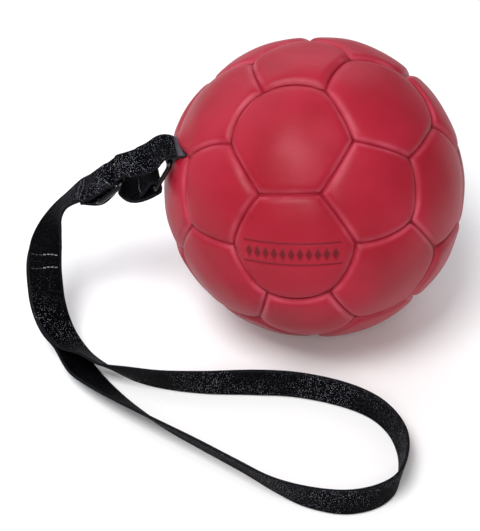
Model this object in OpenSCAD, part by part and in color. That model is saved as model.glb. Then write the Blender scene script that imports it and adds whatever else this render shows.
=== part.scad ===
// Medicine ball with a webbing sling. A stuffed leather ball of 32 sewn panels carries a wire
// ring and an anchor strap in one of its seams. The anchor strap holds a three-bar slider, and
// a lead strap runs from the slider down to the floor and ends in a hand loop.
// Millimetres, +Z up. The ball stands on z = 0 with its centre straight above the origin.

/* [Ball] */
// Radius from the centre to the crown of a panel
ball_r = 110; // [90:1:125]
// How far the resting patch is pressed in
rest_sink = 1.2; // [0.6:0.1:2]
// Radius of the curve across one panel, as a share of the ball's radius
crown_share = 0.82; // [0.75:0.01:0.9]
// Thickness of the leather and its backing at a seam
leather_t = 3; // [2:0.1:4]
// Clear gap between neighbouring panels
seam_gap = 1.2; // [0.8:0.1:2]
// Thickness of the sewn web in the gap
thread_t = 0.5; // [0.3:0.1:0.6]
// Thickness of the canvas lining
lining_t = 1; // [0.5:0.1:2]
// Clearance between the layers inside the ball
layer_gap = 0.2; // [0.1:0.05:0.5]
// Turn of the panel pattern about X, in degrees
pattern_turn_x = -41; // [-180:1:180]
// Turn of the panel pattern about Y, in degrees
pattern_turn_y = 2; // [-180:1:180]
// Turn of the panel pattern about Z, in degrees
pattern_turn_z = 63; // [-180:1:180]

/* [Webbing] */
// Width of the webbing
web_w = 25; // [20:0.5:25]
// Thickness of the webbing
web_t = 2.2; // [1.5:0.1:2.4]
// Clearance between two layers that are sewn together
web_gap = 0.5; // [0.2:0.1:1]
// Chamfer along the edges of the webbing
web_edge = 0.5; // [0.2:0.1:0.7]
// Diameter of the stitching thread
stitch_d = 0.9; // [0.5:0.1:1.2]

/* [Ring] */
// Diameter of the ring's wire
ring_rod = 3.4; // [2.5:0.1:3.6]
// Distance between the middles of its two sides
ring_w = 29.4; // [28:0.2:36]
// Distance between the middles of its two bars
ring_l = 24; // [20:0.5:26]
// Radius of its corners, along the middle of the wire
ring_corner = 4; // [2.5:0.5:6]
// Width of the leather tab that holds it
tab_w = 21; // [12:0.5:22]

/* [Slider] */
// Diameter of the slider's bars
slider_rod = 3.6; // [3:0.1:3.8]
// Distance between the middles of its two sides
slider_w = 30; // [29:0.5:36]
// Distance between the middles of its outer bars
slider_l = 26; // [24:0.2:28]
// Radius of its corners, along the middle of the wire
slider_corner = 4.5; // [3:0.5:6]

/* [Hidden] */
$fn = 64;
centre = [0, 0, ball_r - rest_sink];
crown_r = crown_share * ball_r;
crown_shift = ball_r - crown_r;
inner_r = 0.986 * ball_r - leather_t;
lining_r = inner_r - layer_gap;
filling_r = lining_r - lining_t - layer_gap;
thread_r = 0.974 * ball_r;
thread_foot = 0.1;
reach = 1.3 * ball_r;

// The panels follow an icosahedron with its corners cut off. Each corner of the icosahedron is
// the middle of a five-sided panel, and each of its faces the middle of a six-sided one.
phi = (1 + sqrt(5)) / 2;
signs = [-1, 1];
ico = [for (k = [0:2], a = signs, b = signs) turned(cycle([0, a, b * phi], k))];
neighbour_dist = 2.1;
faces_of_ico = [
    for (i = [0:9], j = [i + 1:10], k = [j + 1:11])
        if (near(i, j) && near(j, k) && near(i, k)) [i, j, k]
];
// One row a panel: the direction of its middle, the direction of one corner, and its sides.
hex_panels = [
    for (f = faces_of_ico)
        [unit(ico[f[0]] + ico[f[1]] + ico[f[2]]), unit(2 * ico[f[0]] + ico[f[1]]), 6]
];
pent_panels = [
    for (i = [0:11])
        let (j = [for (k = [0:11]) if (k != i && near(i, k)) k][0])
            [unit(ico[i]), unit(2 * ico[i] + ico[j]), 5]
];
flat_below = -0.95;

// The seam that the strap and the tab come out of: its run, its outward direction, and the
// direction across it. A point beside it is given as a distance out and a distance up.
seam_mid = [-95.7, -8.9, 153.5];
seam_run = unit([-0.151, 0.981, -0.126]);
seam_out = unit([-0.903, -0.084, 0.422]);
seam_up = cross(seam_run, seam_out);
slot_w = 27;
slot_low = -4.4;
slot_high = 1;
slot_in = -7;
slot_out = 12;
slot_cos = 0.85;
buried = -5;

// The tab: a leather strip from the slot that ends in an eye round the ring's inner bar.
eye = [6.8, -8.6];
eye_hole = ring_rod / 2 + 0.3;
eye_r = eye_hole + 1;
tab_profile = [
    [buried, -3.9], [2.3, -3.9], [4.1, -7], eye, [8.2, -6.6], [5, -4.4], [2.4, -2.3], [buried, -2.3],
];

// The ring's x runs along its bars, and its y from the inner bar to the outer one.
ring_x = seam_run;
ring_y = unit(square_to([-0.49, -0.19, -0.85], ring_x));
ring_z = cross(ring_x, ring_y);
ring_inner = beside_seam(eye[0], eye[1]);
ring_outer = ring_inner + ring_l * ring_y;

// The slider's x runs along its bars, its y away from the ball, and its z up out of it.
slider_mid = [-149, -7, 122];
slider_y = unit([-0.72, 0.04, -0.69]);
slider_x = unit(square_to([-0.1, 0.99, 0.1], slider_y));
slider_z = cross(slider_x, slider_y);
bar_near = slider_mid - slider_l / 2 * slider_y;
bar_far = slider_mid + slider_l / 2 * slider_y;

// Folds keep this distance from the middle of a bar to the middle of the webbing.
fold_play = 1.2;
slider_fold = slider_rod / 2 + fold_play + web_t / 2;
over_far_bar = slider_rod / 2 + 1.6 + web_t / 2;
ring_fold = ring_rod / 2 + 2 + web_t / 2;
layer_step = web_t + web_gap;

// Hand-laid routes. Each row is x, y, z and the webbing's roll in degrees: 0 lays it level
// across its run, and 90 stands it on its edge.
anchor_top = [
    [-91.5, -8.6, 151, -9],
    [-97.7, -9.2, 153.9, -9],
    [-104.5, -10, 155.2, 0],
    [-111.5, -10, 152, 15],
    [-119, -10, 144.5, 24],
    [-128, -9.5, 140, 20],
    [-134.8, -8, 137.2, 10],
];
lead_down = [
    [-171, -5, 110, 0],
    [-181, -5, 101, -14],
    [-189, -8, 91, -20],
    [-194, -14, 82, -18],
    [-197, -22, 73, -8],
    [-198, -32, 63, 0],
    [-197, -42, 52, 0],
    [-195, -51, 40, 0],
    [-190, -59, 28, 5],
    [-181, -68, 18.5, 20],
    [-168, -77, 14.5, 44],
    [-152, -87, 11, 50],
    [-133, -96, 12.4, 66],
    [-110, -102, 12.7, 75],
    [-80, -105, 13, 84],
    [-45, -105, 13, 90],
    [-15, -107, 13, 90],
    [15, -115, 13, 90],
    [38, -127, 13, 90],
    [52, -143, 13, 94],
    [59, -163, 13, 100],
    [58, -184, 13, 100],
    [51, -202, 13, 96],
    [36, -213, 13, 92],
    [15, -217, 13, 92],
    [-10, -212, 13, 99],
    [-32, -201, 12.8, 110],
    [-55, -184, 12.5, 115],
    [-83, -164, 12.2, 117],
    [-111, -144, 11.6, 122],
    [-138, -122, 10.6, 134],
    [-158, -102, 9, 148],
    [-170.5, -86, 8, 158],
];
lead_places = [for (i = [0:len(lead_down) - 1]) place_at(lead_down, i)];
// The loop comes back under these rows of the lead, this far below and this far aside, and its
// end is sewn to the lead there.
return_rows = [
    [9, 3.8, 0],
    [8, 3.4, 0],
    [7, 2.9, 0.6],
    [6, layer_step, 1.2],
    [5, layer_step, 1.2],
    [4, 3.1, 1.2],
];
return_places = [for (r = return_rows) [under_lead(r[0], r[1], r[2]), lead_places[r[0]][1]]];
// The other end of the lead is folded round the slider's middle bar, and its tail is sewn on.
tail_places = concat(
    [[under_lead(0, 3.7, 0.8), lead_places[0][1]]],
    [[bar_far - over_far_bar * slider_z, slider_x]]
);
fold_turns = [-90:30:90];
middle_fold = [
    for (a = fold_turns) [slider_mid + slider_fold * (sin(a) * slider_z - cos(a) * slider_y), slider_x]
];
lead_route = concat(
    tail_places,
    middle_fold,
    [[bar_far + over_far_bar * slider_z, slider_x]],
    lead_places,
    return_places
);

// The anchor strap goes over the slider's near bar, back under it, and round the ring's outer
// bar, where its end is sewn to itself.
near_fold = [
    for (a = [-90:30:30]) [bar_near + slider_fold * (cos(a) * slider_y - sin(a) * slider_z), slider_x]
];
back_leg = [
    [[-140.6, -6.4, 121], slider_x],
    [[-138.4, -7, 117.4], slider_x],
    [[-133, -8.6, 117], ring_x],
];
ring_pull = unit(square_to([-0.74, 0.2, -0.61], ring_x));
ring_side = unit(cross(ring_x, ring_pull));
ring_turn = [
    for (a = fold_turns) [ring_outer + ring_fold * (sin(a) * ring_side - cos(a) * ring_pull), ring_x]
];
anchor_route = concat(
    [for (i = [0:len(anchor_top) - 1]) place_at(anchor_top, i)],
    near_fold,
    back_leg,
    [[ring_outer + 11.5 * ring_pull - 1.3 * ring_side, ring_x]],
    ring_turn,
    [
        [ring_outer + 6 * ring_pull + 3.1 * ring_side, ring_x],
        [ring_outer + 11 * ring_pull + 2.4 * ring_side, ring_x],
    ]
);
ring_spacing = 12;

// Rows of stitching on the webbing: a place on the lead, by row and share of the way back.
stitch_inset = 2.5;
loop_stitches = [[5, 0.4], [5, -0.25]];
tail_stitches = [[1, 1.25], [1, 0.95]];

function unit(v) = v / norm(v);
function square_to(v, along) = v - (v * along) * along;
function cycle(v, k) = [for (i = [0:2]) v[(i + k) % 3]];
function two_digits(i) = str(i < 10 ? "0" : "", i);
function near(i, j) = norm(ico[i] - ico[j]) < neighbour_dist;
function about_x(v, a) = [v.x, cos(a) * v.y - sin(a) * v.z, sin(a) * v.y + cos(a) * v.z];
function about_y(v, a) = [cos(a) * v.x + sin(a) * v.z, v.y, cos(a) * v.z - sin(a) * v.x];
function about_z(v, a) = [cos(a) * v.x - sin(a) * v.y, sin(a) * v.x + cos(a) * v.y, v.z];
function turned(v) =
    about_z(about_y(about_x(v, pattern_turn_x), pattern_turn_y), pattern_turn_z);
function beside_seam(out, up) = seam_mid + out * seam_out + up * seam_up;

// A place on webbing: its middle, the direction across it, and the normal of its face.
function place_at(rows, i) =
    let (
        p = [rows[i].x, rows[i].y, rows[i].z],
        before = rows[max(i - 1, 0)],
        after = rows[min(i + 1, len(rows) - 1)],
        run = unit([after.x - before.x, after.y - before.y, after.z - before.z]),
        level = unit(cross(run, [0, 0, 1])),
        across = cos(rows[i][3]) * level + sin(rows[i][3]) * cross(level, run)
    )
    [p, across, cross(across, run)];
function under_lead(i, step, aside) =
    lead_places[i][0] - step * lead_places[i][2] + aside * lead_places[i][1];

// A smooth curve through the places: u runs from 0 to 1 between place i and the next one.
function blend(a, b, c, d, u) =
    0.5 * (2 * b + (c - a) * u + (2 * a - 5 * b + 4 * c - d) * u * u
        + (3 * b - a - 3 * c + d) * u * u * u);
function on_route(route, i, u, k) =
    let (
        last = len(route) - 1,
        b = route[i][k],
        c = route[i + 1][k],
        a = i > 0 ? route[i - 1][k] : 2 * b - c,
        d = i + 1 < last ? route[i + 2][k] : 2 * c - b
    )
    blend(a, b, c, d, u);
function steps_between(route, i) =
    max(1, round(norm(route[i + 1][0] - route[i][0]) / ring_spacing));
function smooth(route, k) = [
    for (i = [0:len(route) - 2], s = [0:steps_between(route, i) - 1])
        on_route(route, i, s / steps_between(route, i), k),
    route[len(route) - 1][k],
];

// The webbing's section, chamfered along its edges.
section = [
    for (q = [[1, 1], [-1, 1], [-1, -1], [1, -1]], first = [1, 0])
        let (flat = (first == 1) == (q.x * q.y < 0))
            [q.x * (web_w / 2 - (flat ? web_edge : 0)), q.y * (web_t / 2 - (flat ? 0 : web_edge))]
];

module webbing(route) {
    middles = smooth(route, 0);
    sides = smooth(route, 1);
    last = len(middles) - 1;
    m = len(section);
    points = [
        for (i = [0:last])
            let (
                run = unit(middles[min(i + 1, last)] - middles[max(i - 1, 0)]),
                across = unit(square_to(sides[i], run)),
                face = cross(across, run)
            )
            for (q = section) middles[i] + q.x * across + q.y * face
    ];
    faces = concat(
        [[for (j = [m - 1:-1:0]) j], [for (j = [0:m - 1]) last * m + j]],
        [
            for (i = [0:last - 1], j = [0:m - 1])
                [i * m + j, i * m + (j + 1) % m, (i + 1) * m + (j + 1) % m]
        ],
        [
            for (i = [0:last - 1], j = [0:m - 1])
                [i * m + j, (i + 1) * m + (j + 1) % m, (i + 1) * m + j]
        ]
    );
    polyhedron(points, faces);
}

// The solid between the planes through the seams round one panel, moved in by half a gap.
module sector(panel, gap) {
    middle = panel[0];
    corner = panel[1];
    sides = panel[2];
    u = unit(square_to(corner, middle));
    v = cross(middle, u);
    out = corner * middle;
    wide = norm(square_to(corner, middle));
    inset = gap / 2 * norm([out, wide * cos(180 / sides)]) / (wide * cos(180 / sides));
    tip = inset * middle;
    rim = [
        for (i = [0:sides - 1])
            tip + reach * (middle + wide / out * (cos(360 * i / sides) * u + sin(360 * i / sides) * v))
    ];
    polyhedron(
        concat([tip], rim),
        concat(
            [[for (i = [sides:-1:1]) i]],
            [for (i = [1:sides]) [0, i, i % sides + 1]]
        )
    );
}

module framed(origin, x, y, z) {
    multmatrix([
        [x[0], y[0], z[0], origin[0]],
        [x[1], y[1], z[1], origin[1]],
        [x[2], y[2], z[2], origin[2]],
    ])
        children();
}

module seam_slot() {
    framed(seam_mid, seam_run, seam_out, seam_up)
        translate([-slot_w / 2, slot_in, slot_low])
            cube([slot_w, slot_out - slot_in, slot_high - slot_low]);
}

module leather_panel(panel) {
    color("firebrick")
        difference() {
            translate(centre)
                intersection() {
                    translate(crown_shift * panel[0])
                        sphere(crown_r);
                    sector(panel, seam_gap);
                }
            translate(centre)
                sphere(inner_r);
            if (panel[0] * seam_out > slot_cos)
                seam_slot();
            if (panel[0].z < flat_below)
                translate([-ball_r, -ball_r, -ball_r])
                    cube([2 * ball_r, 2 * ball_r, ball_r]);
        }
}

module seam_thread() {
    color("maroon")
        difference() {
            translate(centre)
                sphere(thread_r);
            translate(centre)
                sphere(inner_r + thread_foot);
            translate(centre)
                for (panel = concat(hex_panels, pent_panels))
                    sector(panel, thread_t);
            seam_slot();
        }
}

module canvas_lining() {
    color("tan")
        difference() {
            translate(centre)
                sphere(lining_r);
            translate(centre)
                sphere(lining_r - lining_t);
            seam_slot();
        }
}

module fibre_filling() {
    color("gainsboro")
        difference() {
            translate(centre)
                sphere(filling_r);
            seam_slot();
        }
}

// A round bar along x, and a closed wire frame with round corners in the x-y plane.
module bar(length, rod) {
    rotate([0, 90, 0])
        cylinder(h = length, d = rod, center = true);
}

module wire_frame(w, l, corner, rod) {
    for (s = [-1, 1]) {
        translate([0, s * l / 2, 0])
            bar(w - 2 * corner, rod);
        translate([s * w / 2, 0, 0])
            rotate([0, 0, 90])
                bar(l - 2 * corner, rod);
    }
    for (i = [0:3])
        translate([(i == 0 || i == 3 ? 1 : -1) * (w / 2 - corner), (i < 2 ? 1 : -1) * (l / 2 - corner), 0])
            rotate([0, 0, 90 * i])
                rotate_extrude(angle = 90)
                    translate([corner, 0])
                        circle(d = rod);
}

module wire_ring() {
    color("black")
        framed(ring_inner, ring_x, ring_y, ring_z)
            translate([0, ring_l / 2, 0])
                wire_frame(ring_w, ring_l, ring_corner, ring_rod);
}

module slider() {
    color("black")
        framed(slider_mid, slider_x, slider_y, slider_z) {
            wire_frame(slider_w, slider_l, slider_corner, slider_rod);
            bar(slider_w, slider_rod);
        }
}

module ring_tab() {
    color("dimgray")
        framed(seam_mid, seam_out, seam_up, seam_run)
            translate([0, 0, -tab_w / 2])
                linear_extrude(tab_w)
                    difference() {
                        union() {
                            polygon(tab_profile);
                            translate(eye)
                                circle(eye_r);
                        }
                        translate(eye)
                            circle(eye_hole);
                    }
}

module anchor_strap() {
    color("dimgray")
        webbing(anchor_route);
}

module lead_strap() {
    color("dimgray")
        webbing(lead_route);
}

module stitch_row(middle, across, face) {
    framed(middle + (web_t / 2) * face, across, cross(face, across), face)
        bar(web_w - 2 * stitch_inset, stitch_d);
}

module lead_rows(stitches) {
    color("silver")
        for (s = stitches) {
            here = lead_places[s[0]];
            next = lead_places[s[0] - 1];
            stitch_row(here[0] + s[1] * (next[0] - here[0]), here[1], here[2]);
        }
}

module loop_stitching() {
    lead_rows(loop_stitches);
}

module tail_stitching() {
    lead_rows(tail_stitches);
}

module anchor_stitching() {
    color("silver")
        stitch_row(ring_outer + 9.5 * ring_pull + 2.6 * ring_side, ring_x, ring_side);
}

for (i = [0:19])
    leather_panel(hex_panels[i]);
for (i = [0:11])
    leather_panel(pent_panels[i]);
seam_thread();
canvas_lining();
fibre_filling();
ring_tab();
wire_ring();
anchor_strap();
slider();
lead_strap();
loop_stitching();
tail_stitching();
anchor_stitching();
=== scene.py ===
"""Looks, light and camera for a stuffed leather medicine ball with a webbing sling."""

import math

import bpy
import numpy as np
from mathutils import Matrix, Vector, noise


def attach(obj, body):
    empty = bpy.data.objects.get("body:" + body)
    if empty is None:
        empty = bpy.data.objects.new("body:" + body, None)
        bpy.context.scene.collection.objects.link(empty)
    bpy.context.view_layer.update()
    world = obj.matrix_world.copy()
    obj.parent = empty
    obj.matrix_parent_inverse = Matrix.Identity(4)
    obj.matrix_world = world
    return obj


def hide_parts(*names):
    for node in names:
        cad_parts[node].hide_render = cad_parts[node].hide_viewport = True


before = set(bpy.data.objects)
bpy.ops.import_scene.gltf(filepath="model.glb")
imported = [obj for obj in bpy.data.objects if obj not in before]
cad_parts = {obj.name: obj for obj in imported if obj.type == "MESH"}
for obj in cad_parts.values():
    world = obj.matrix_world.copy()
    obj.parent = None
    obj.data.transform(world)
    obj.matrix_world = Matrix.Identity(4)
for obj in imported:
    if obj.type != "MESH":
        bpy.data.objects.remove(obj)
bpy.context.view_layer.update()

MM = 0.001

# ---------------------------------------------------------------- camera

LENS_MM = 127.3
SENSOR_MM = 36.0
CAMERA_AT = Vector((-54.3, -960.5, 897.0)) * MM
CAMERA_TILT = math.radians(42)
CAMERA_SEES = 20


def add_camera():
    data = bpy.data.cameras.new("camera")
    data.sensor_fit = "HORIZONTAL"
    data.sensor_width = SENSOR_MM
    data.lens = LENS_MM
    data.clip_end = CAMERA_SEES
    camera = bpy.data.objects.new("camera", data)
    camera.location = CAMERA_AT
    camera.rotation_euler = (math.pi / 2 - CAMERA_TILT, 0, 0)
    bpy.context.scene.collection.objects.link(camera)
    bpy.context.scene.camera = camera


add_camera()

# ---------------------------------------------------------------- sizes, in millimetres

BALL_R = 110.0
REST_SINK = 1.2
CENTRE = np.array([0, 0, BALL_R - REST_SINK])
LEATHER_T = 3
INNER_R = 0.986 * BALL_R - LEATHER_T + 0.2

WEB_W = 25.0
WEB_T = 2.2
LAYER_STEP = 2.7


def unit(v):
    v = np.asarray(v, float)
    return v / np.linalg.norm(v)


def square_to(v, along):
    v = np.asarray(v, float)
    return v - (v @ along) * along


# The seam that the strap comes out of, and how far its two edges stand apart there.
SEAM_MID = np.array([-95.7, -8.9, 153.5])
SEAM_RUN = unit([-0.151, 0.981, -0.126])
SEAM_OUT = unit([-0.903, -0.084, 0.422])
SEAM_UP = np.cross(SEAM_RUN, SEAM_OUT)
SLOT_LOW, SLOT_HIGH = -4.2, 0.8

RING_ROD, RING_L = 3.4, 24.0
RING_X = SEAM_RUN
RING_Y = unit(square_to([-0.49, -0.19, -0.85], RING_X))
RING_INNER = SEAM_MID + 6.8 * SEAM_OUT - 8.6 * SEAM_UP
RING_OUTER = RING_INNER + RING_L * RING_Y
RING_FOLD = RING_ROD / 2 + 2 + WEB_T / 2
RING_PULL = unit(square_to([-0.74, 0.2, -0.61], RING_X))
RING_SIDE = unit(np.cross(RING_X, RING_PULL))

SLIDER_ROD, SLIDER_L = 3.6, 26.0
SLIDER_MID = np.array([-149, -7, 122])
SLIDER_Y = unit([-0.72, 0.04, -0.69])
SLIDER_X = unit(square_to([-0.1, 0.99, 0.1], SLIDER_Y))
SLIDER_Z = np.cross(SLIDER_X, SLIDER_Y)
SLIDER_FOLD = SLIDER_ROD / 2 + 1.2 + WEB_T / 2
OVER_FAR_BAR = SLIDER_ROD / 2 + 1.6 + WEB_T / 2
BAR_NEAR = SLIDER_MID - SLIDER_L / 2 * SLIDER_Y
BAR_FAR = SLIDER_MID + SLIDER_L / 2 * SLIDER_Y
FOLD_TURNS = np.radians(np.arange(-90, 91, 30))

# ---------------------------------------------------------------- routes of the webbing

# Each row is x, y, z and the webbing's roll: 0 is level across its run, 90 is on its edge.
ANCHOR_TOP = [
    (-91.5, -8.6, 151, -9),
    (-97.7, -9.2, 153.9, -9),
    (-104.5, -10, 155.2, 0),
    (-111.5, -10, 152, 15),
    (-119, -10, 144.5, 24),
    (-128, -9.5, 140, 20),
    (-134.8, -8, 137.2, 10),
]
# The slack below the slider: places, and whether the webbing lies along the slider or the ring.
ANCHOR_LEG = (
    ((-140.6, -6.4, 121), SLIDER_X),
    ((-138.4, -7, 117.4), SLIDER_X),
    ((-133, -8.6, 117), RING_X),
)
LEAD_DOWN = [
    (-171, -5, 110, 0),
    (-181, -5, 101, -14),
    (-189, -8, 91, -20),
    (-194, -14, 82, -18),
    (-197, -22, 73, -8),
    (-198, -32, 63, 0),
    (-197, -42, 52, 0),
    (-195, -51, 40, 0),
    (-190, -59, 28, 5),
    (-181, -68, 18.5, 20),
    (-168, -77, 14.5, 44),
    (-152, -87, 11, 50),
    (-133, -96, 12.4, 66),
    (-110, -102, 12.7, 75),
    (-80, -105, 13, 84),
    (-45, -105, 13, 90),
    (-15, -107, 13, 90),
    (15, -115, 13, 90),
    (38, -127, 13, 90),
    (52, -143, 13, 94),
    (59, -163, 13, 100),
    (58, -184, 13, 100),
    (51, -202, 13, 96),
    (36, -213, 13, 92),
    (15, -217, 13, 92),
    (-10, -212, 13, 99),
    (-32, -201, 12.8, 110),
    (-55, -184, 12.5, 115),
    (-83, -164, 12.2, 117),
    (-111, -144, 11.6, 122),
    (-138, -122, 10.6, 134),
    (-158, -102, 9, 148),
    (-170.5, -86, 8, 158),
]
# A row of the lead, and how far the second layer lies below it and aside.
RETURN_ROWS = (
    (9, 3.8, 0),
    (8, 3.4, 0),
    (7, 2.9, 0.6),
    (6, LAYER_STEP, 1.2),
    (5, LAYER_STEP, 1.2),
    (4, 3.1, 1.2),
)


def place_at(rows, i):
    """The middle, the direction across and the face's normal at one row of a route."""
    run = unit(np.subtract(rows[min(i + 1, len(rows) - 1)][:3], rows[max(i - 1, 0)][:3]))
    level = unit(np.cross(run, (0, 0, 1)))
    roll = math.radians(rows[i][3])
    across = math.cos(roll) * level + math.sin(roll) * np.cross(level, run)
    return np.array(rows[i][:3], float), across, np.cross(across, run)


LEAD_PLACES = [place_at(LEAD_DOWN, i) for i in range(len(LEAD_DOWN))]


def under_lead(i, step, aside):
    """A place below one row of the lead, for the layer that lies under it."""
    middle, across, face = LEAD_PLACES[i]
    return middle - step * face + aside * across, across


def lead_route():
    """From the tail round the slider's middle bar, over the far bar, the loop and back under."""
    tail = [under_lead(0, 3.7, 0.8), (BAR_FAR - OVER_FAR_BAR * SLIDER_Z, SLIDER_X)]
    fold = [
        (SLIDER_MID + SLIDER_FOLD * (math.sin(a) * SLIDER_Z - math.cos(a) * SLIDER_Y), SLIDER_X)
        for a in FOLD_TURNS
    ]
    over = [(BAR_FAR + OVER_FAR_BAR * SLIDER_Z, SLIDER_X)]
    back = [under_lead(*row) for row in RETURN_ROWS]
    return tail + fold + over + [p[:2] for p in LEAD_PLACES] + back


def anchor_route():
    """Over the slider's near bar, down in a slack bight, round the ring's outer bar and back."""
    top = [place_at(ANCHOR_TOP, i)[:2] for i in range(len(ANCHOR_TOP))]
    fold = [
        (BAR_NEAR + SLIDER_FOLD * (math.cos(a) * SLIDER_Y - math.sin(a) * SLIDER_Z), SLIDER_X)
        for a in FOLD_TURNS[:5]
    ]
    leg = [(np.array(middle), across) for middle, across in ANCHOR_LEG]
    leg.append((RING_OUTER + 11.5 * RING_PULL - 1.3 * RING_SIDE, RING_X))
    turn = [
        (RING_OUTER + RING_FOLD * (math.sin(a) * RING_SIDE - math.cos(a) * RING_PULL), RING_X)
        for a in FOLD_TURNS
    ]
    end = [
        (RING_OUTER + 6 * RING_PULL + 3.1 * RING_SIDE, RING_X),
        (RING_OUTER + 11 * RING_PULL + 2.4 * RING_SIDE, RING_X),
    ]
    return top + fold + leg + turn + end


def smooth(route, pitch):
    """A Catmull-Rom curve through the route's places, with a point about every pitch."""
    middles = np.array([p for p, _ in route])
    sides = np.array([s for _, s in route])
    rows = np.hstack([middles, sides])
    rows = np.vstack([2 * rows[0] - rows[1], rows, 2 * rows[-1] - rows[-2]])
    out = []
    for a, b, c, d in zip(rows, rows[1:], rows[2:], rows[3:]):
        steps = max(1, round(np.linalg.norm(c[:3] - b[:3]) / pitch))
        for u in np.arange(steps) / steps:
            out.append(
                0.5 * (2 * b + (c - a) * u + (2 * a - 5 * b + 4 * c - d) * u**2
                       + (3 * b - a - 3 * c + d) * u**3)
            )
    out.append(rows[-2])
    out = np.array(out)
    run = np.gradient(out[:, :3], axis=0)
    run /= np.linalg.norm(run, axis=1)[:, None]
    across = out[:, 3:] - np.sum(out[:, 3:] * run, axis=1)[:, None] * run
    across /= np.linalg.norm(across, axis=1)[:, None]
    return out[:, :3], across, np.cross(across, run)


# ---------------------------------------------------------------- mesh helpers


def new_object(name, points_mm, faces, material):
    mesh = bpy.data.meshes.new(name)
    mesh.from_pydata([tuple(p * MM) for p in np.asarray(points_mm)], [], faces)
    mesh.validate()
    mesh.update()
    mesh.polygons.foreach_set("use_smooth", [True] * len(mesh.polygons))
    mesh.materials.append(material)
    obj = bpy.data.objects.new(name, mesh)
    bpy.context.scene.collection.objects.link(obj)
    return obj


def add_uv(obj, uvs):
    """One u, v pair a vertex, in millimetres on the cloth."""
    layer = obj.data.uv_layers.new(name="cloth_mm")
    for loop in obj.data.loops:
        layer.data[loop.index].uv = uvs[loop.vertex_index]


def add_value(obj, name, values):
    """One number a vertex, for the material."""
    layer = obj.data.attributes.new(name, "FLOAT", "POINT")
    layer.data.foreach_set("value", values)


# ---------------------------------------------------------------- node materials


class Shader:
    """A small helper that builds one node material."""

    def __init__(self, name):
        self.material = bpy.data.materials.new(name)
        self.material.use_nodes = True
        self.tree = self.material.node_tree
        self.bsdf = self.tree.nodes["Principled BSDF"]

    def set(self, **values):
        for socket, value in values.items():
            self.bsdf.inputs[socket.replace("_", " ")].default_value = value

    def node(self, kind, **settings):
        made = self.tree.nodes.new("ShaderNode" + kind)
        for key, value in settings.items():
            setattr(made, key, value)
        return made

    def join(self, output, socket):
        self.tree.links.new(output, socket)

    def math(self, operation, a, b=None):
        made = self.node("Math", operation=operation)
        for socket, value in zip(made.inputs, (a, b)):
            if value is None:
                continue
            if isinstance(value, (int, float)):
                socket.default_value = value
            else:
                self.join(value, socket)
        return made.outputs[0]

    def noise(self, scale, detail):
        made = self.node("TexNoise")
        made.inputs["Scale"].default_value = scale
        made.inputs["Detail"].default_value = detail
        self.join(self.place(), made.inputs["Vector"])
        return made.outputs["Fac"]

    def cells(self, scale, vector):
        made = self.node("TexVoronoi", feature="F1")
        made.inputs["Scale"].default_value = scale
        self.join(vector, made.inputs["Vector"])
        return made.outputs

    def place(self):
        return self.node("TexCoord").outputs["Object"]

    def attribute(self, name):
        return self.node("Attribute", attribute_name=name).outputs["Fac"]

    def ramp(self, value, stops):
        made = self.node("ValToRGB")
        elements = made.color_ramp.elements
        while len(elements) < len(stops):
            elements.new(0.5)
        for element, (at, colour) in zip(elements, stops):
            element.position = at
            element.color = (*colour, 1)
        self.join(value, made.inputs[0])
        return made.outputs[0]

    def mix(self, share, a, b):
        made = self.node("Mix", data_type="RGBA")
        for socket, value in ((made.inputs[0], share), (made.inputs[6], a), (made.inputs[7], b)):
            if isinstance(value, tuple):
                socket.default_value = (*value, 1)
            else:
                self.join(value, socket)
        return made.outputs[2]

    def bump(self, height, strength, distance_mm, below=None):
        """A bump of a height in mm, on top of the bump below."""
        made = self.node("Bump")
        made.inputs["Strength"].default_value = strength
        made.inputs["Distance"].default_value = distance_mm * MM
        self.join(height, made.inputs["Height"])
        if below is not None:
            self.join(below, made.inputs["Normal"])
        return made.outputs[0]

    def finish(self, colour=None, roughness=None, normal=None):
        if colour is not None:
            self.join(colour, self.bsdf.inputs["Base Color"])
        if roughness is not None:
            self.join(roughness, self.bsdf.inputs["Roughness"])
        if normal is not None:
            self.join(normal, self.bsdf.inputs["Normal"])
        return self.material


LEATHER = (0.355, 0.011, 0.030)
LEATHER_DEEP = (0.27, 0.005, 0.016)
# Painted highlight for the ridges beside the seams.
LEATHER_RIDGE_HIGHLIGHT = (0.56, 0.092, 0.142)
# Painted shade for the creases at the seams.
CREASE_SHADE = (0.27, 0.003, 0.016)
MARK_DARK = (0.07, 0.002, 0.005)

NYLON, NYLON_GLINT = (0.0010, 0.0010, 0.0016), (0.42, 0.42, 0.50)
SELVAGE_GREY, ROOT_GREY = (0.018, 0.018, 0.022), (0.24, 0.22, 0.26)
SELVAGE_W = 1.3
RIB_PITCH, WARP_PITCH = 1.5, 1.15
GLINTS_PER_MM, GLINT_R, GLINT_RARITY = 2.2, 0.4, 0.86


def grey(tone):
    return (tone,) * 3


def leather():
    """Semi-matte crimson leather: cloudy dye, fine grain, a painted highlight along the ridges and
    painted shade in the creases.
    """
    s = Shader("wine_leather")
    clouds = s.noise(16, 3)
    dye = s.ramp(clouds, ((0.34, LEATHER_DEEP), (0.66, LEATHER)))
    # A painted highlight along the ridges beside the seams, in patches.
    highlight_patches = s.ramp(s.noise(34, 4), ((0.42, grey(0.15)), (0.66, grey(0.7))))
    ridge = s.math("MULTIPLY", s.attribute("ridge"), highlight_patches)
    ridge_highlit = s.mix(ridge, dye, LEATHER_RIDGE_HIGHLIGHT)
    # Painted shade in the creases beside the seams.
    crease_shaded = s.mix(s.attribute("crease"), ridge_highlit, CREASE_SHADE)
    marked = s.mix(s.attribute("mark"), crease_shaded, MARK_DARK)
    grain = s.bump(s.cells(1100, s.place())["Distance"], 0.10, 0.25)
    soft = s.bump(s.noise(260, 5), 0.12, 0.6, below=grain)
    rough = s.math("ADD", s.math("MULTIPLY", clouds, 0.15), 0.38)
    s.set(Specular_IOR_Level=0.2)
    return s.finish(marked, rough, soft)


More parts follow.
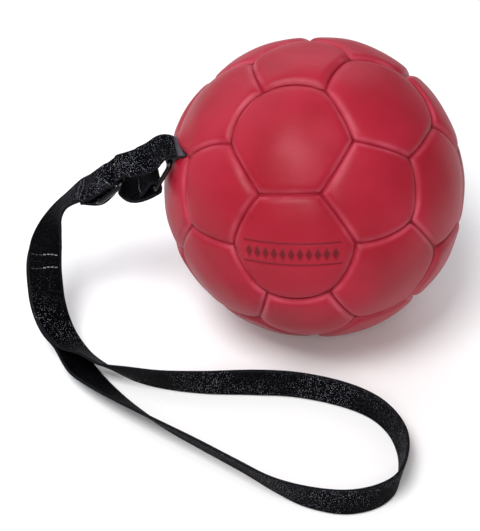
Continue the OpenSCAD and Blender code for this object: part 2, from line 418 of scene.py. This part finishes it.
def webbing():
    """Black woven nylon: ribs across, fine warp, random glints and greyer selvages."""
    s = Shader("black_webbing")
    uv = s.node("UVMap", uv_map="cloth_mm").outputs[0]
    split = s.node("SeparateXYZ")
    s.join(uv, split.inputs[0])
    u, v = split.outputs[0], split.outputs[1]
    ribs = s.math("SINE", s.math("MULTIPLY", v, 2 * math.pi / RIB_PITCH))
    warp = s.math("SINE", s.math("MULTIPLY", u, 2 * math.pi / WARP_PITCH))
    weave = s.math("MULTIPLY", ribs, warp)
    height = s.math("ADD", s.math("MULTIPLY", weave, 0.5), s.math("MULTIPLY", ribs, 0.25))
    glints = s.cells(GLINTS_PER_MM, uv)
    chance = s.node("SeparateColor")
    s.join(glints["Color"], chance.inputs[0])
    near_middle = s.math("LESS_THAN", glints["Distance"], GLINT_R)
    rare = s.math("GREATER_THAN", chance.outputs[0], GLINT_RARITY)
    patches = s.ramp(s.noise(30, 3), ((0.38, grey(0.1)), (0.6, grey(1.0))))
    # Some stretches get fewer painted glints.
    shown = s.math("SUBTRACT", 1.0, s.attribute("fewer_glints"))
    seen = s.math("MULTIPLY", patches, shown)
    spark = s.math("MULTIPLY", s.math("MULTIPLY", rare, near_middle), seen)
    edge = s.math("GREATER_THAN", s.math("ABSOLUTE", u), WEB_W / 2 - SELVAGE_W)
    body = s.mix(spark, NYLON, NYLON_GLINT)
    selvage = s.mix(s.math("MULTIPLY", edge, 0.4), body, SELVAGE_GREY)
    # A pale band near the webbing's start, following the weave.
    root_weave = s.math("ADD", 0.55, s.math("MULTIPLY", weave, 0.45))
    colour = s.mix(s.math("MULTIPLY", s.attribute("root"), root_weave), selvage, ROOT_GREY)
    s.set(Roughness=0.6, Specular_IOR_Level=0.02)
    return s.finish(colour, None, s.bump(height, 0.7, 0.25))


def enamel():
    """Glossy black enamel over wire, with a faint ripple and a few duller rubs."""
    s = Shader("black_enamel")
    rough = s.ramp(s.noise(300, 3), ((0.4, grey(0.14)), (0.8, grey(0.28))))
    s.set(Base_Color=(0.001, 0.001, 0.0015, 1), Specular_IOR_Level=0.15)
    s.set(Coat_Weight=0.3, Coat_Roughness=0.04)
    return s.finish(None, rough, s.bump(s.noise(90, 2), 0.05, 0.3))


def thread(name, dark, light):
    """Twisted thread or matted fibre between two tones; a dimmed vertex takes the dark one."""
    s = Shader(name)
    bright = s.math("SUBTRACT", 1.0, s.attribute("dimmed"))
    colour = s.mix(s.math("MULTIPLY", s.noise(900, 4), bright), dark, light)
    s.set(Roughness=0.75)
    return s.finish(colour, None, s.bump(s.noise(1800, 3), 0.5, 0.15))


def painted_floor():
    s = Shader("pale_floor")
    s.set(Base_Color=(*grey(0.93), 1), Roughness=0.75, Specular_IOR_Level=0.15)
    return s.material


LEATHER_LOOK = leather()
WEBBING_LOOK = webbing()
ENAMEL_LOOK = enamel()
SEAM_LOOK = thread("seam_thread", (0.20, 0.002, 0.012), (0.34, 0.006, 0.022))
STITCH_LOOK = thread("grey_thread", (0.01, 0.01, 0.012), (0.45, 0.45, 0.47))
TAB_LOOK = thread("tab_webbing", (0.006, 0.006, 0.009), (0.03, 0.03, 0.035))
CANVAS_LOOK = thread("canvas", (0.035, 0.006, 0.009), (0.07, 0.014, 0.018))
FIBRE_LOOK = thread("fibre", (0.5, 0.49, 0.45), (0.8, 0.79, 0.74))

# ---------------------------------------------------------------- straps

STRAP_PITCH = 1.6
# The rounded selvage: how far in from the edge, and the share of the full thickness.
STRAP_RIM = ((0, 0.55), (0.25, 0.85), (0.8, 1.0), (2.2, 1.0), (2.6, 0.92))
MIDDLE_T, MIDDLE_REACH = 0.92, 8
ROOT_BAND = 2.2
NO_ROOT = -100

STITCHES, STITCH_POINTS, STITCH_SIDES = 7, 5, 6
STITCH_ROD, STITCH_LENGTH, STITCH_WOBBLE = 0.42, 0.76, 0.45
STITCH_MARGIN = 5


def strap_section():
    """Half the section's points, from one edge to the other: place across and half thickness."""
    edge = [(WEB_W / 2 - inset, share * WEB_T / 2) for inset, share in STRAP_RIM]
    inner = [(x, MIDDLE_T * WEB_T / 2) for x in np.linspace(MIDDLE_REACH, -MIDDLE_REACH, 9)]
    return edge + inner + [(-x, t) for x, t in reversed(edge)]


def strap(name, route, root=NO_ROOT, fewer_glints=()):
    """Webbing with a pale band root mm from its start, and stretches with fewer painted glints:
    where, how long.
    """
    middles, across, face = smooth(route, STRAP_PITCH)
    half = strap_section()
    section = half + [(x, -t) for x, t in reversed(half)]
    length = np.concatenate([[0], np.cumsum(np.linalg.norm(np.diff(middles, axis=0), axis=1))])
    m = len(section)
    points = [c + x * w + t * n for c, w, n in zip(middles, across, face) for x, t in section]
    uvs = [(x, v) for v in length for x, _ in section]
    faces = [tuple(range(m - 1, -1, -1)), tuple((len(middles) - 1) * m + j for j in range(m))]
    for i in range(len(middles) - 1):
        for j in range(m):
            k = (j + 1) % m
            faces.append((i * m + j, i * m + k, (i + 1) * m + k, (i + 1) * m + j))
    obj = new_object(name, points, faces, WEBBING_LOOK)
    add_uv(obj, uvs)
    pale = [0.8 * math.exp(-(((v - root) / ROOT_BAND) ** 4)) for v in length for _ in section]
    add_value(obj, "root", pale)
    # Stretches where the painted glints are mostly left out.
    dimmed = [0.9 * sum(math.exp(-(((v - at) / reach) ** 4)) for at, reach in fewer_glints) for v in length]
    add_value(obj, "fewer_glints", [value for value in dimmed for _ in section])
    return obj, (middles, across, face), length[-1]


lead, lead_line, lead_length = strap("lead_webbing", lead_route(), fewer_glints=((118, 42), (815, 75)))
lead_middles = lead_line[0]
anchor = strap("anchor_webbing", anchor_route(), root=7, fewer_glints=((98, 34),))[0]


def stitching(name, rows, dimmed=0.0, dark_from=STITCHES):
    """Rows of short stitches across the webbing; each row is a middle, a side and a normal."""
    points, faces, dim = [], [], []
    ring = STITCH_SIDES
    spacing = (WEB_W - STITCH_MARGIN) / STITCHES
    for middle, across, face in rows:
        run = np.cross(face, across)
        for k in range(STITCHES):
            start = (k + 0.12 - STITCHES / 2) * spacing
            wobble = STITCH_WOBBLE * math.sin(7.3 * k + middle[0])
            first = len(points)
            for q in np.linspace(0, 1, STITCH_POINTS):
                at = middle + (start + q * spacing * STITCH_LENGTH) * across + wobble * run
                at = at + (WEB_T / 2 - 0.25 + 0.5 * math.sin(math.pi * q)) * face
                for t in np.arange(ring) * 2 * math.pi / ring:
                    points.append(at + STITCH_ROD * (math.cos(t) * run + math.sin(t) * face))
                    # Stitches from a given count on take the dark tone.
                    dim.append(0.95 if k >= dark_from else dimmed)
            for i in range(STITCH_POINTS - 1):
                for j in range(ring):
                    a, b = first + i * ring + j, first + i * ring + (j + 1) % ring
                    faces.append((a, b, b + ring, a + ring))
            last = first + (STITCH_POINTS - 1) * ring
            faces.append(tuple(first + j for j in range(ring - 1, -1, -1)))
            faces.append(tuple(last + j for j in range(ring)))
    obj = new_object(name, points, faces, STITCH_LOOK)
    add_value(obj, "dimmed", dim)
    return obj


def on_lead(row, share):
    """The middle, side and normal of the lead nearest a share of the way back from a row."""
    at = LEAD_PLACES[row][0] + share * (LEAD_PLACES[row - 1][0] - LEAD_PLACES[row][0])
    i = int(np.argmin(np.linalg.norm(lead_middles - at, axis=1)))
    return tuple(values[i] for values in lead_line)


on_anchor_end = (RING_OUTER + 9.5 * RING_PULL + 2.6 * RING_SIDE, RING_X, RING_SIDE)
loop_rows = stitching("loop_stitches", [on_lead(5, 0.4), on_lead(5, -0.25)], dark_from=4)
tail_rows = stitching("tail_stitches", [on_lead(1, 1.25), on_lead(1, 0.95)], dimmed=0.85)
anchor_rows = stitching("anchor_stitches", [on_anchor_end], dimmed=0.85)

for piece in (lead, anchor, loop_rows, tail_rows, anchor_rows):
    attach(piece, "ball")
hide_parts("lead_strap")
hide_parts("anchor_strap")
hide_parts("loop_stitching")
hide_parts("tail_stitching")
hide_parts("anchor_stitching")

# ---------------------------------------------------------------- the ball's panels

PHI = (1 + math.sqrt(5)) / 2
HEXAGONS = 20
# How the sewn pattern is turned against the floor and the strap.
PATTERN_TURN = (
    Matrix.Rotation(math.radians(63), 3, "Z")
    @ Matrix.Rotation(math.radians(2), 3, "Y")
    @ Matrix.Rotation(math.radians(-41), 3, "X")
)
# A panel's crown, the valley at its seams, its puckers at the corners and its mesh, in mm.
CROWN_SHARE = 0.82
ROLL_W, ROLL_H, ROLL_POWER = 8.0, 2.7, 1.35
PUCKER_H, PUCKER_W = 1.1, 6.0
UNEVEN, UNEVEN_FADE = 0.9, 8
GRID = 22
RIM_CROWDING = 1.6
RIM_INSET = 0.06
# Painted highlight on the ridge and painted shade in the crease beside a seam: where, how wide and
# how strong.
RIDGE_AT, RIDGE_W = 2.2, 1.5
CREASE_W, CREASE_SHARE = 1.1, 0.8
MARK_SHARE = 0.75

# The seams' sway, as a share of the radius, and the web of sewn edges at their bottom.
WARP, WARP_WAVES, WARP_SEED = 0.009, 2.7, 7
WEB_HALF_T, WEB_LOW, WEB_HIGH = 0.25, 104.8, 105.8
WEB_STEPS = 11
SEAM_SPAN = 0.45

# The opening where the strap leaves the ball.
OPEN_HALF_L, OPEN_EASE = 15.5, 2.5
OPEN_REACH = 12

# Seams that bow: the panel a seam bows into, the panel on its other side, and how far in mm.
SEAM_BOWS = (
    (21, 8, 3.8), (5, 8, 4.8), (7, 8, 0.5), (5, 30, 4), (17, 30, 1), (17, 16, 2.4), (28, 16, 4.2),
    (3, 16, 3), (30, 16, 2), (3, 24, 2.5), (2, 24, 3), (26, 7, 4), (9, 7, 1.5), (21, 7, 2.2),
    (5, 21, 2), (6, 21, 4.8), (9, 21, 4.8),
)
BOW_REACH = 12.0
HALF_SEAM = 22.2
# Corners that are pulled aside: the three panels that meet there, and the pull in mm.
CORNER_PULLS = (((14, 17, 30), (4.7, 0, 0)), ((5, 14, 30), (0, 2.3, 2.6)))
PULL_REACH = 14.0

# The plain band that is pressed into one panel, in mm.
MARKED, MARK_GRID = 16, 76
MARK_HALF_W, MARK_PITCH, MARK_DEPTH, MARK_DROP, MARK_TILT = 33.0, 6.0, 0.7, 2.5, 0.05
LOZENGE_W, LOZENGE_H = 2.4, 4.6
MARK_LINE, MARK_LINE_AT, MARK_SOFT = 0.55, 8.0, 0.9

# The leather swells over the root of the strap, in mm.
BROW_H, BROW_REACH = 3.2, 13.0


def panel_list():
    """Each panel's middle, one of its corners and its number of sides; hexagons come first."""
    ico = []
    for k in range(3):
        for a in (-1, 1):
            for b in (-1, 1):
                v = (0, a, b * PHI)
                ico.append(np.array(PATTERN_TURN @ Vector([v[(i + k) % 3] for i in range(3)])))
    near = [[np.linalg.norm(p - q) < 2.1 for q in ico] for p in ico]
    panels = []
    for i in range(12):
        for j in range(i + 1, 12):
            for k in range(j + 1, 12):
                if near[i][j] and near[j][k] and near[i][k]:
                    panels.append((unit(ico[i] + ico[j] + ico[k]), unit(2 * ico[i] + ico[j]), 6))
    for i in range(12):
        j = next(k for k in range(12) if k != i and near[i][k])
        panels.append((unit(ico[i]), unit(2 * ico[i] + ico[j]), 5))
    return panels


def apothem_of(panel):
    """Distance from a panel's middle to a side's middle, on a plane one unit out."""
    middle, corner, sides = panel
    return np.linalg.norm(square_to(corner, middle)) / (corner @ middle) * math.cos(math.pi / sides)


def seam_bow(into, beside, amount):
    """The middle of a seam, the direction it is pushed in, its run, and how far it goes."""
    a, b = PANELS[into], PANELS[beside]
    seam = unit(a[0] + apothem_of(a) * unit(square_to(b[0], a[0])))
    push = unit(square_to(a[0], seam))
    return seam, push, np.cross(seam, push), amount


def wandered(direction):
    """The seams bow and wander, as hand-sewn ones do; neighbours share the same shift."""
    place = Vector(direction * WARP_WAVES) + Vector((5.2, 1.3, 8.4))
    shift = WARP * np.array(noise.noise_vector(place))
    off, along = BALL_R * (BOW_PUSH @ direction), BALL_R * (BOW_RUN @ direction)
    share = np.exp(-((off / BOW_REACH) ** 2)) * np.maximum(0, 1 - (along / HALF_SEAM) ** 2)
    shift = shift + (BOW_BY * share * (BOW_SEAM @ direction > 0.9) / BALL_R) @ BOW_PUSH
    for corner, pull in PULLS:
        away = BALL_R * np.linalg.norm(direction - corner)
        shift = shift + math.exp(-((away / PULL_REACH) ** 2)) / BALL_R * pull
    return unit(direction + shift)


def crown_radius(direction, middle):
    """Distance from the ball's centre to the panel's crown sphere along a direction."""
    shift = (1 - CROWN_SHARE) * BALL_R
    cos = direction @ middle
    return shift * cos + math.sqrt((CROWN_SHARE * BALL_R) ** 2 - shift**2 * (1 - cos * cos))


def pressed_mark(x, y):
    """How deep the plain pressed band is, from 0 to 1: lozenges in a row between two lines."""
    if abs(x) > MARK_HALF_W + 1:
        return 0
    step = x - MARK_PITCH * round(x / MARK_PITCH)
    lozenge = 1 - abs(step) / LOZENGE_W - abs(y) / LOZENGE_H if abs(x) < MARK_HALF_W else -1
    line = MARK_LINE - abs(abs(y) - MARK_LINE_AT)
    return min(1, max(0, max(2 * lozenge, line) / MARK_SOFT + 0.5))


def panel_piece(name, middle, corner, sides, grid, marked):
    """One leather cushion: crowned, pressed into a valley at its seams, closed at the back."""
    u = unit(square_to(corner, middle))
    v = np.cross(middle, u)
    spread = np.linalg.norm(square_to(corner, middle)) / (corner @ middle)
    apothem = spread * math.cos(math.pi / sides)
    apothem_mm = BALL_R * math.atan(apothem)
    tips = [
        np.array([math.cos(2 * math.pi * k / sides), math.sin(2 * math.pi * k / sides)])
        for k in range(sides + 1)
    ]
    rows, seam, rings = [], [], []
    for a in range(grid + 1):
        share = (1 - (1 - a / grid) ** RIM_CROWDING) * (1 - RIM_INSET / apothem_mm)
        rings.append(len(rows))
        for k in range(sides):
            for b in range(max(a, 1) if a or k == 0 else 0):
                t = b / a if a else 0
                xy = share * ((1 - t) * tips[k] + t * tips[k + 1])
                rows.append(unit(middle + spread * (xy[0] * u + xy[1] * v)))
                to_corner = min(np.linalg.norm(xy - tip) for tip in tips) * spread * BALL_R
                seam.append(((1 - share) * apothem_mm, to_corner))
    points, ridge, crease, mark = [], [], [], []
    rows = [wandered(direction) for direction in rows]
    right = unit(square_to((1, 0, MARK_TILT), middle))
    up = np.cross(middle, right)
    for direction, (d, c) in zip(rows, seam):
        r = crown_radius(direction, middle)
        if d < ROLL_W:
            r -= ROLL_H * (1 - math.sin(math.pi / 2 * d / ROLL_W)) ** ROLL_POWER
        r -= PUCKER_H * math.exp(-((c / PUCKER_W) ** 2))
        if middle @ SEAM_UP > 0:
            from_root = np.linalg.norm(BALL_R * direction + CENTRE - SEAM_MID)
            r += BROW_H * math.exp(-((from_root / BROW_REACH) ** 2))
        fade = min(1, d / UNEVEN_FADE)
        r += UNEVEN * fade * noise.noise(Vector(direction * 4.2) + Vector((3.1, 7.7, 1.9)))
        deep = 0
        if marked:
            deep = pressed_mark(BALL_R * (direction @ right), BALL_R * (direction @ up) + MARK_DROP)
        points.append(CENTRE + (r - MARK_DEPTH * deep) * direction)
        # The ridge's share of painted highlight, by the distance from the seam.
        ridge.append(math.exp(-(((d - RIDGE_AT) / RIDGE_W) ** 2)))
        # The crease's share of painted shade, by the distance from the seam.
        crease.append(CREASE_SHARE * math.exp(-d / CREASE_W))
        mark.append(MARK_SHARE * deep)
    faces = []
    for a in range(grid):
        inner, outer = rings[a], rings[a + 1]
        for k in range(sides):
            for b in range(a + 1):
                o1 = outer + k * (a + 1) + b
                o2 = outer + (k * (a + 1) + b + 1) % (sides * (a + 1))
                i1 = inner + (k * a + b) % max(sides * a, 1)
                faces.append((i1, o1, o2))
                if b < a:
                    i2 = inner + (k * a + b + 1) % (sides * a)
                    faces.append((i1, o2, i2))
    rim = list(range(rings[grid], len(rows)))
    first_inner = len(points)
    for i in rim:
        points.append(CENTRE + INNER_R * rows[i])
        ridge.append(0)
        crease.append(1)
    points.append(CENTRE + INNER_R * middle)
    ridge.append(0)
    crease.append(1)
    n = len(rim)
    for j in range(n):
        k = (j + 1) % n
        faces.append((rim[j], first_inner + j, first_inner + k, rim[k]))
        faces.append((first_inner + k, first_inner + j, first_inner + n))
    points = np.array([opened_for_strap(p, middle) for p in points])
    points[:, 2] = np.maximum(points[:, 2], 0)
    obj = new_object(name, points, faces, LEATHER_LOOK)
    add_value(obj, "ridge", ridge)
    add_value(obj, "crease", crease)
    add_value(obj, "mark", mark + [0] * (len(points) - len(mark)))
    return obj


def opened_for_strap(p, middle):
    """Moves the panels' edges apart where the strap and the tab come out of the seam."""
    along, out, up = (float((p - SEAM_MID) @ axis) for axis in (SEAM_RUN, SEAM_OUT, SEAM_UP))
    if abs(along) > OPEN_HALF_L or abs(out) > OPEN_REACH or abs(up) > OPEN_REACH:
        return p
    window = min(1, (OPEN_HALF_L - abs(along)) / OPEN_EASE)
    edge = SLOT_HIGH if middle @ SEAM_UP > 0 else SLOT_LOW
    reach = 1 - min(1, abs(up) / OPEN_REACH)
    return p + edge * window * reach * SEAM_UP


def seam_web(panels):
    """The sewn edges at the bottom of every seam, one thin closed strip a seam."""
    corners = []
    for middle, corner, sides in panels[HEXAGONS:]:
        u = unit(square_to(corner, middle))
        v = np.cross(middle, u)
        high, wide = corner @ middle, np.linalg.norm(square_to(corner, middle))
        for k in range(sides):
            turn = 2 * math.pi * k / sides
            corners.append(high * middle + wide * (math.cos(turn) * u + math.sin(turn) * v))
    points, faces = [], []
    for i, a in enumerate(corners):
        for b in corners[i + 1:]:
            if np.linalg.norm(a - b) > SEAM_SPAN:
                continue
            side = unit(np.cross(a, b))
            first = len(points)
            for t in np.linspace(0, 1, WEB_STEPS + 1):
                direction = wandered(unit((1 - t) * a + t * b))
                for r, w in ((WEB_LOW, -1), (WEB_LOW, 1), (WEB_HIGH, 1), (WEB_HIGH, -1)):
                    points.append(CENTRE + r * direction + w * WEB_HALF_T * side)
            for q in range(WEB_STEPS):
                for j in range(4):
                    k = (j + 1) % 4
                    faces.append(tuple(first + 4 * q + n for n in (j, k, k + 4, j + 4)))
            faces.append((first + 3, first + 2, first + 1, first))
            faces.append(tuple(first + 4 * WEB_STEPS + j for j in range(4)))
    opened = [opened_for_strap(p, unit(p - CENTRE)) for p in points]
    return new_object("seam_web", opened, faces, SEAM_LOOK)


noise.seed_set(WARP_SEED)
PANELS = panel_list()
BOW_SEAM, BOW_PUSH, BOW_RUN, BOW_BY = map(np.array, zip(*(seam_bow(*row) for row in SEAM_BOWS)))
PULLS = [
    (unit(sum(PANELS[i][0] for i in around)), np.array(pull)) for around, pull in CORNER_PULLS
]
web = seam_web(PANELS)
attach(web, "ball")
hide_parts("seam_thread")
for number, (middle, corner, sides) in enumerate(PANELS):
    kind, index = ("hex", number + 1) if number < HEXAGONS else ("pent", number + 1 - HEXAGONS)
    grid = MARK_GRID if number == MARKED else GRID
    name = f"{kind}_cushion_{index:02d}"
    cushion = panel_piece(name, middle, corner, sides, grid, number == MARKED)
    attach(cushion, "ball")
    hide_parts(f"{kind}_panel_{index:02d}")

# ---------------------------------------------------------------- carried-over nodes


def dress(node, look):
    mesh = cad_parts[node].data
    mesh.materials.clear()
    mesh.materials.append(look)


dress("canvas_lining", CANVAS_LOOK)
dress("fibre_filling", FIBRE_LOOK)
dress("ring_tab", TAB_LOOK)
dress("wire_ring", ENAMEL_LOOK)
dress("slider", ENAMEL_LOOK)

# ---------------------------------------------------------------- floor and light


FLOOR_HALF, FLOOR_GAP = 6.0, 0.0005
WORLD_GLOW = 0.36
LIGHTS_AIM = Vector((0, 0, 0.1))
COOL = (0.86, 0.92, 1.0)


def add_floor():
    mesh = bpy.data.meshes.new("floor")
    corners = [(a * FLOOR_HALF, b * FLOOR_HALF, 0) for a, b in ((-1, -1), (1, -1), (1, 1), (-1, 1))]
    mesh.from_pydata(corners, [], [(0, 1, 2, 3)])
    mesh.materials.append(painted_floor())
    floor = bpy.data.objects.new("floor", mesh)
    floor.location.z = -FLOOR_GAP
    bpy.context.scene.collection.objects.link(floor)


def area_light(name, at, size, power, colour=(1, 1, 1)):
    data = bpy.data.lights.new(name, "AREA")
    data.shape = "RECTANGLE"
    data.size, data.size_y = size
    data.energy = power
    data.color = colour
    light = bpy.data.objects.new(name, data)
    light.location = at
    light.rotation_euler = (LIGHTS_AIM - Vector(at)).to_track_quat("-Z", "Y").to_euler()
    bpy.context.scene.collection.objects.link(light)


def add_light():
    world = bpy.data.worlds.new("studio")
    world.use_nodes = True
    background = world.node_tree.nodes["Background"].inputs
    background[0].default_value = (1, 1, 1, 1)
    background[1].default_value = WORLD_GLOW
    bpy.context.scene.world = world
    area_light("key", (-0.5, -0.8, 1.9), (0.8, 0.8), 32)
    area_light("front", (-0.25, -1.6, 1.35), (0.5, 0.5), 8)
    area_light("sky", (-1.4, 0.8, 1.2), (1.4, 1.4), 9, COOL)
    area_light("back", (-0.1, 1.8, 1.3), (2.0, 0.9), 14, COOL)
    area_light("fill", (1.4, -1.2, 1.2), (1.0, 1.0), 1.5)
    bpy.context.scene.view_settings.view_transform = "Standard"


add_floor()
add_light()
